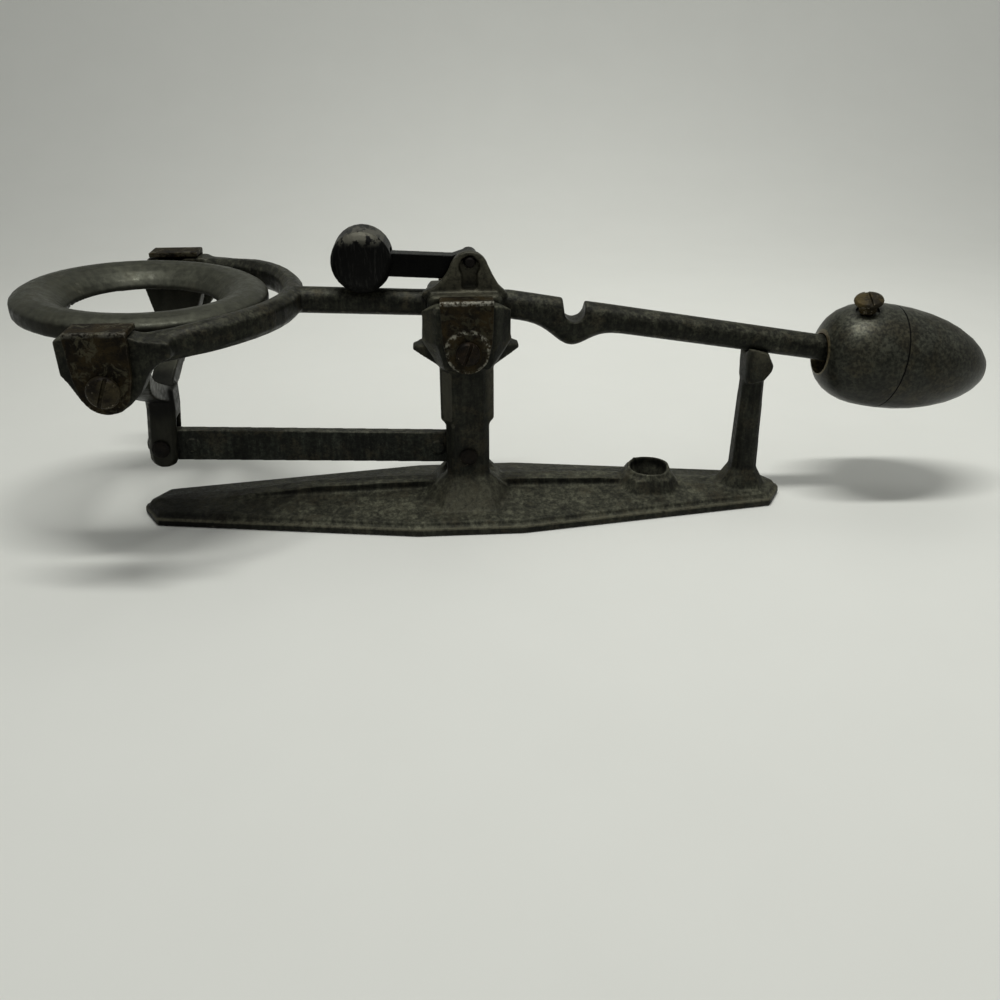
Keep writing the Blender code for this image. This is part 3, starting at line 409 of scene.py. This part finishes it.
def cast_metal(name, top, shaded_side, offset, rough, relief=0.16, metallic=0.45, coarse=1.1, speckle=1.0,
               cloudy=1.0, dusty=(), shaded_spots=(), highlight_line=None, shadow_and_grime_fade=None):
    """Oxidised sand-cast aluminium, lighter on top and darker at its sides as painted light and shade,
    with painted shade and dirt in its corners, and worn edges.

    Speckle and cloudy are the strengths of the small and of the broad patches. Dusty lists the places
    where dust gathers, and the other list gives the places darkened as painted shade. A painted
    highlight runs at the height of the given line, and the metal is darkened to the left of the given
    span in X as painted shadow and dirt.
    """
    look = Look(name)
    fine = look.noise(coarse, 7.0, 0.75, offset)
    grain = look.noise(0.36, 3.0, 0.6, offset)
    tone = lit_and_weathered(look, top, shaded_side, fine, grain, offset, speckle, cloudy)
    for centre, reach, strength in dusty:
        near = look.fade(look.away(centre, reach), 0.35, 1.1)
        near = look.times(near, look.ramp(fine, 0.36, 0.60, 0.35, 1.0))
        tone = look.cover(tone, CAST_DUST, near, strength)
    # Painted shade at the listed places.
    for centre, reach in shaded_spots:
        tone = look.shade(tone, look.ramp(look.away(centre, reach), 0.6, 1.2, 0.16, 1.0))
    # Painted shadow of the ring, with dirt, darkening the base's left end.
    if shadow_and_grime_fade is not None:
        tone = look.shade(tone, look.ramp(look.at("X"), *shadow_and_grime_fade, 0.22, 1.0))
    # Painted shade in the hollows darkens the colour. The same mask makes the hollows rougher and less
    # metallic, as dirt.
    shade_and_grime = look.fade(look.hollows(HOLLOW_REACH), 0.35, 0.9)
    tone = look.darken(tone, shade_and_grime, 0.25)
    tone = look.cover(tone, CAST_WORN, look.edges(fine, 0.06, 0.555, 0.61), 0.35)
    # Painted highlight: a lighter line along the base's flange at the given height.
    if highlight_line is not None:
        level = look.band(look.at("Z"), highlight_line, 0.12, 0.42)
        level = look.times(level, look.ramp(fine, 0.34, 0.60, 0.25, 1.0))
        tone = look.cover(tone, CAST_LINE_HIGHLIGHT, level, 0.75)
    roughness = look.ramp(fine, 0.3, 0.7, rough - 0.10, rough + 0.20)
    roughness = look.maths("ADD", roughness, look.times(shade_and_grime, 0.2), clamp=True)
    clean_metal = look.ramp(shade_and_grime, 0.0, 1.0, metallic, 0.1)
    pits = look.ramp(look.cells(1.3, offset), 0.0, 0.28)
    height = look.plus(look.times(fine, 0.8), look.times(grain, 0.3), look.times(pits, 0.25))
    return look.finish(tone, roughness, clean_metal, 0.18, look.bump(height, relief, 0.85))


def egg_metal(name, top, shaded_side, offset):
    """Smooth oxidised metal, lighter on top and darker below as painted light and shade, with a dark
    seam round its middle, rust in its bore and a painted highlight round the bore's rim.
    """
    look = Look(name)
    cloud = look.noise(9.0, 4.0, 0.6, offset, distortion=0.6)
    mottle = look.noise(3.2, 6.0, 0.7, offset + 5.0)
    fine = look.noise(0.9, 5.0, 0.65, offset)
    # Painted light and shade: the top colour where the surface faces up, the side colour where it faces
    # down.
    tone = look.mix(look.ramp(look.upward(), -0.35, 0.9), shaded_side, top)
    tone = look.cover(tone, EGG_STAIN, look.ramp(cloud, 0.42, 0.64), 0.65)
    tone = look.vary(tone, fine, 0.38, 0.64, 0.50, 0.60)
    tone = look.vary(tone, mottle, 0.38, 0.64, 0.20, 0.22)
    along_rod = look.along(EGG_SEAM, ROD_LINE)
    from_bore = look.away_from_line(EGG_BORE, ROD_LINE)
    blunt_end = look.fade(along_rod, *BLUNT_END_FADE)
    mouth = look.times(look.fade(from_bore, *BORE_MOUTH_FADE), blunt_end)
    tone = look.cover(tone, BORE_RUST, mouth)
    # Painted highlight: a light ring round the rim of the bore.
    lip_highlight = look.times(look.band(from_bore, BORE_LIP_RADIUS, 0.15, 0.5), blunt_end)
    lip_highlight = look.times(lip_highlight, look.ramp(fine, 0.36, 0.56, 0.3, 1.0))
    tone = look.cover(tone, BORE_LIP_HIGHLIGHT, lip_highlight)
    seam = look.band(along_rod, 0.0, SEAM_HALF * 0.6, SEAM_HALF * 1.6)
    tone = look.darken(tone, seam, 0.22)
    tone = look.darken(tone, look.fade(look.cells(2.2, offset), 0.06, 0.14), 0.6)
    roughness = look.ramp(cloud, 0.3, 0.75, 0.34, 0.46)
    height = look.plus(fine, look.times(seam, -0.5))
    return look.finish(tone, roughness, 0.5, 0.3, look.bump(height, 0.08, 0.6))


def rust_layers(look, brown, dark, offset, wear):
    """Clouds of rust, dark pits and bright worn edges.

    Gives the colour, the fine noise, where the edges are worn, and the height of the relief.
    """
    cloud = look.noise(4.2, 6.0, 0.65, offset, distortion=0.4)
    fine = look.noise(0.8, 5.0, 0.7, offset)
    pits = look.ramp(look.cells(0.9, offset), 0.05, 0.34)
    tone = look.mix(look.ramp(cloud, 0.38, 0.64), dark, brown)
    tone = look.cover(tone, look.shade(brown, 1.9), look.ramp(fine, 0.55, 0.75), 0.5)
    tone = look.cover(tone, look.shade(dark, 0.4), look.fade(pits, 0.0, 1.0), 0.55)
    worn = look.edges(fine, 0.06, 0.56, 0.62)
    tone = look.cover(tone, STEEL_WORN, worn, wear)
    height = look.plus(look.times(fine, 0.5), look.times(pits, 0.6))
    return tone, fine, worn, height


def rusty_steel(name, brown, dark, offset, wear=0.6):
    """Metal gone brown, with pits, scale and thin bright wear on its edges."""
    look = Look(name)
    tone, fine, worn, height = rust_layers(look, brown, dark, offset, wear)
    roughness = look.ramp(fine, 0.3, 0.7, 0.62, 0.44)
    metallic = look.ramp(worn, 0.0, 1.0, 0.4, 0.9)
    return look.finish(tone, roughness, metallic, 0.14, look.bump(height, 0.16, 0.7))


def cap_sheet(name, flake, fold, fold_highlight_strength, offset, crust=0.0):
    """A rusty sheet cap: a flaking skin, a painted highlight along its fold, and crust about the
    fulcrum's screw.
    """
    look = Look(name)
    tone, fine, worn, height = rust_layers(look, RUST_BROWN, RUST_DARK, offset, 0.35)
    flakes = look.ramp(look.noise(2.4, 6.0, 0.7, offset + 4.0, distortion=0.8), 0.53, 0.60)
    tone = look.cover(tone, flake, flakes, 0.75)
    # Painted highlight along the fold's edge.
    bright = look.times(look.fade(look.away_from_folds(*fold), 0.35, 0.95), look.ramp(fine, 0.40, 0.58))
    tone = look.cover(tone, FOLD_HIGHLIGHT, bright, fold_highlight_strength)
    from_screw = look.away_from_line(FULCRUM_SCREW, FRONT_TO_BACK)
    patchy = look.ramp(look.noise(1.3, 5.0, 0.7, offset + 9.0), 0.46, 0.60)
    ring = look.times(look.band(from_screw, CRUST_RADIUS, 0.15, 0.8), patchy)
    tone = look.cover(tone, SCREW_CRUST, ring, crust)
    roughness = look.ramp(flakes, 0.0, 1.0, 0.62, 0.5)
    metallic = look.ramp(worn, 0.0, 1.0, 0.25, 0.8)
    height = look.plus(height, look.times(flakes, 0.5))
    return look.finish(tone, roughness, metallic, 0.10, look.bump(height, 0.2, 0.7))


def worn_paint(name, paint, metal, offset):
    """Black paint with upright brush marks, worn through to dull metal along the top of its rim."""
    look = Look(name)
    fine = look.noise(0.9, 6.0, 0.7, offset)
    strokes = look.noise(0.55, 4.0, 0.6, offset, BRUSH_STROKES, distortion=0.5)
    patches = look.noise(2.6, 5.0, 0.65, offset + 2.0, RIM_PATCHES)
    tone = look.vary(paint, strokes, 0.50, 0.74, 0.5, 5.0)
    top = look.times(look.ramp(look.at("Z"), *POISE_TOP_WEAR), look.ramp(patches, 0.47, 0.56))
    rim = look.times(look.ramp(look.at("Z"), *POISE_RIM_WEAR, 0.1, 0.9),
                     look.edges(fine, 0.05, 0.565, 0.61))
    bare = look.maths("MAXIMUM", top, rim)
    tone = look.mix(bare, tone, metal)
    roughness = look.ramp(bare, 0.0, 1.0, 0.45, 0.55)
    metallic = look.ramp(bare, 0.0, 1.0, 0.0, 0.7)
    height = look.plus(strokes, look.times(bare, -0.6))
    return look.finish(tone, roughness, metallic, 0.08, look.bump(height, 0.12, 0.7))


def gloss_paint(name, paint, offset):
    """Shiny black paint that is a little uneven."""
    look = Look(name)
    cloud = look.noise(3.0, 4.0, 0.6, offset)
    fine = look.noise(0.7, 5.0, 0.65, offset)
    tone = look.vary(paint, cloud, 0.3, 0.7, 0.4, 0.8)
    roughness = look.ramp(fine, 0.3, 0.7, 0.20, 0.34)
    return look.finish(tone, roughness, 0.0, 0.04, look.bump(cloud, 0.05, 0.3))


def paper(name):
    """Matt pale paper with a faint mottle."""
    look = Look(name)
    tone = look.mix(look.noise(30.0, 3.0, 0.55), PAPER_DARK, PAPER_LIGHT)
    return look.finish(tone, 0.9, 0.0, 0.4)


def set_shape(piece):
    """Apply a piece's modifiers."""
    bpy.context.view_layer.update()
    graph = bpy.context.evaluated_depsgraph_get()
    piece.data = bpy.data.meshes.new_from_object(piece.evaluated_get(graph))
    piece.modifiers.clear()


def add_relax(piece, rounds):
    """A new smoothing modifier, which rounds off edges and fills inner corners."""
    relax = piece.modifiers.new("relax", "SMOOTH")
    relax.factor = 0.5
    relax.iterations = rounds
    return relax


def soften(piece, low, high, rounds):
    """Round off what lies between two corners, front and back alike, fading out at its sides."""
    group = piece.vertex_groups.new(name="soft")
    for vertex in piece.data.vertices:
        place = vertex.co / MM
        place.y = abs(place.y)
        inside = min(min(place[axis] - low[axis], high[axis] - place[axis]) for axis in range(3))
        if inside > 0.0:
            group.add([vertex.index], min(inside / SOFT_FADE, 1.0), "REPLACE")
    add_relax(piece, rounds).vertex_group = group.name
    set_shape(piece)


def cast_copy(node, voxel_mm, rounds):
    """A fine copy of a CAD node whose edges are worn round and whose inner corners are filled."""
    mesh = frame["nodes"][node].data.copy()
    mesh.materials.clear()
    piece = add_object(node + "_skin", mesh)
    remesh = piece.modifiers.new("remesh", "REMESH")
    remesh.mode = "VOXEL"
    remesh.voxel_size = voxel_mm * MM
    add_relax(piece, rounds)
    set_shape(piece)
    if node in SOFT_SHOULDERS:
        soften(piece, *SOFT_SHOULDERS[node])
    piece.data.shade_smooth()
    return piece


def smooth_copy(node, sharp_angle):
    """A copy of a CAD node with smooth shading everywhere but across its sharp edges."""
    mesh = frame["nodes"][node].data.copy()
    mesh.materials.clear()
    if "custom_normal" in mesh.attributes:
        mesh.attributes.remove(mesh.attributes["custom_normal"])
    shape = bmesh.new()
    shape.from_mesh(mesh)
    bmesh.ops.remove_doubles(shape, verts=shape.verts, dist=SAME_POINT)
    shape.to_mesh(mesh)
    shape.free()
    mesh.shade_smooth()
    mesh.set_sharp_from_angle(angle=sharp_angle)
    return add_object(node + "_skin", mesh)


def dress(piece, material, node):
    """Give a piece its material, and the body and place of the CAD node that it stands for."""
    record = frame["record"]
    piece.data.materials.clear()
    piece.data.materials.append(material)
    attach(piece, next(body for body, held in record["behaviour"]["bodies"].items() if node in held))
    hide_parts(node)


def area_light(name, place, target, width, height, power, spread=math.pi):
    """A lamp that faces the target, with its width kept level from left to right."""
    lamp = bpy.data.lights.new(name, "AREA")
    lamp.shape = "RECTANGLE"
    lamp.size = width
    lamp.size_y = height
    lamp.energy = power
    lamp.color = LAMP_COLOUR
    lamp.spread = spread
    back = (place - target).normalized()
    right = (Vector((1.0, 0.0, 0.0)) - back * back.x).normalized()
    turn = Matrix((right, back.cross(right), back)).transposed()
    add_object(name, lamp).matrix_world = Matrix.Translation(place) @ turn.to_4x4()


def camera():
    """The scene's camera, at the photograph's viewing angle."""
    lens = bpy.data.cameras.new("camera")
    lens.lens = LENS_MM
    lens.sensor_width = SENSOR_MM
    lens.clip_start = NEAREST_SEEN
    forward = Vector((math.sin(CAMERA_YAW) * math.cos(CAMERA_PITCH),
                      math.cos(CAMERA_YAW) * math.cos(CAMERA_PITCH),
                      -math.sin(CAMERA_PITCH)))
    made = add_object("camera", lens)
    made.location = CAMERA_PLACE
    made.rotation_mode = "QUATERNION"
    made.rotation_quaternion = forward.to_track_quat("-Z", "Y")
    bpy.context.scene.camera = made


def lights():
    """The two lamps, and the surround that brightens from the horizon upwards."""
    area_light("strip", STRIP_PLACE, STRIP_TARGET, STRIP_LENGTH, STRIP_WIDTH, STRIP_POWER)
    area_light("glow", GLOW_PLACE, GLOW_TARGET, GLOW_SIZE, GLOW_SIZE, GLOW_POWER, GLOW_SPREAD)
    world = bpy.data.worlds.new("surround")
    world.use_nodes = True
    tree = world.node_tree
    coordinates = tree.nodes.new("ShaderNodeTexCoord")
    split = tree.nodes.new("ShaderNodeSeparateXYZ")
    rise = tree.nodes.new("ShaderNodeMapRange")
    rise.inputs["From Min"].default_value, rise.inputs["From Max"].default_value = SURROUND_RISE
    rise.inputs["To Min"].default_value = SURROUND_LOW
    rise.inputs["To Max"].default_value = SURROUND_HIGH
    tree.links.new(coordinates.outputs["Generated"], split.inputs["Vector"])
    tree.links.new(split.outputs["Z"], rise.inputs["Value"])
    tree.links.new(rise.outputs["Result"], tree.nodes["Background"].inputs["Strength"])
    tree.nodes["Background"].inputs["Color"].default_value = SURROUND_COLOUR
    bpy.context.scene.world = world


def build():
    """Make the materials, then every visible piece."""
    base_metal = cast_metal("base_cast", top=(0.046, 0.046, 0.032), shaded_side=(0.0140, 0.0145, 0.0105),
                            offset=3.1, rough=0.55, relief=0.22, speckle=0.7, dusty=BASE_DUST,
                            highlight_line=FLANGE_TOP, shadow_and_grime_fade=BASE_SHADOW_AND_GRIME_FADE)
    beam_metal = cast_metal("beam_cast", top=(0.027, 0.027, 0.0190), shaded_side=(0.0120, 0.0125, 0.0085),
                            offset=7.7, rough=0.42, dusty=BEAM_DUST)
    ring_metal = cast_metal("ring_cast", top=(0.048, 0.049, 0.036), shaded_side=(0.014, 0.014, 0.0100),
                            offset=12.3, rough=0.40, relief=0.06, metallic=0.5, coarse=2.0,
                            speckle=0.22, cloudy=0.35, shaded_spots=YOKE_SHADE)
    link_metal = cast_metal("link_cast", top=(0.050, 0.050, 0.038), shaded_side=(0.0135, 0.0150, 0.0115),
                            offset=21.9, rough=0.50)
    egg = egg_metal("weight_cast", top=(0.044, 0.045, 0.033), shaded_side=(0.015, 0.0155, 0.0110), offset=33.3)
    fulcrum_caps = cap_sheet("fulcrum_cap_steel", flake=(0.032, 0.029, 0.017), fold=FULCRUM_CAP_FOLD,
                             fold_highlight_strength=0.6, offset=5.5, crust=0.65)
    ring_caps = cap_sheet("ring_cap_steel", flake=(0.055, 0.050, 0.030), fold=RING_CAP_FOLD,
                          fold_highlight_strength=0.18, offset=8.3)
    ring_screws = rusty_steel("ring_screw_steel", brown=(0.036, 0.029, 0.015),
                              dark=(0.007, 0.005, 0.003), offset=11.5)
    screws = rusty_steel("screw_steel", brown=(0.016, 0.010, 0.005), dark=(0.004, 0.003, 0.002),
                         offset=9.5)
    pins = rusty_steel("pin_steel", brown=(0.008, 0.006, 0.004), dark=(0.004, 0.0035, 0.003),
                       offset=15.5, wear=0.3)
    brass = rusty_steel("clamp_brass", brown=(0.064, 0.047, 0.018), dark=(0.014, 0.011, 0.006),
                        offset=19.5)
    poise_paint = worn_paint("poise_paint", paint=(0.0025, 0.0025, 0.0022),
                             metal=(0.085, 0.082, 0.066), offset=4.4)
    arm_paint = gloss_paint("arm_paint", paint=(0.0015, 0.0015, 0.0013), offset=6.4)

    # Each copy's CAD node, the size of its mesh in mm, its rounds of smoothing and its material.
    copies = (
        ("base_casting", 0.42, 4, base_metal),
        ("beam_casting", 0.34, 6, beam_metal),
        ("ring_carrier", 0.34, 4, ring_metal),
        ("check_link", 0.24, 3, link_metal),
        ("fulcrum_cap_front", 0.20, 2, fulcrum_caps),
        ("fulcrum_cap_back", 0.20, 2, fulcrum_caps),
        ("ring_cap_front", 0.20, 2, ring_caps),
        ("ring_cap_back", 0.20, 2, ring_caps),
        ("poise_weight", 0.22, 7, poise_paint),
        ("poise_arm", 0.16, 6, arm_paint),
        ("clamp_screw", 0.11, 3, brass),
        ("fulcrum_cap_screw_front", 0.11, 3, screws),
        ("fulcrum_cap_screw_back", 0.11, 3, screws),
        ("ring_cap_screw_front", 0.11, 3, ring_screws),
        ("ring_cap_screw_back", 0.11, 3, ring_screws),
        ("link_pin_pillar", 0.12, 3, pins),
        ("link_pin_stem", 0.12, 3, pins),
        ("poise_pivot_pin", 0.12, 3, pins),
        ("poise_rivet", 0.12, 3, pins),
    )
    for node, voxel, rounds, material in copies:
        dress(cast_copy(node, voxel, rounds), material, node)
    for node in ("counterweight_blunt_half", "counterweight_pointed_half"):
        dress(smooth_copy(node, EGG_SHARP_ANGLE), egg, node)

    for node in ("fulcrum_knife_edge", "ring_knife_edge_front", "ring_knife_edge_back", "balance_slug"):
        carried = frame["nodes"][node]
        carried.data.materials.clear()
        carried.data.materials.append(pins)


floor = sweep_floor()
floor.data.materials.append(paper("paper"))
camera()
lights()
build()
bpy.context.scene.view_settings.view_transform = "Standard"
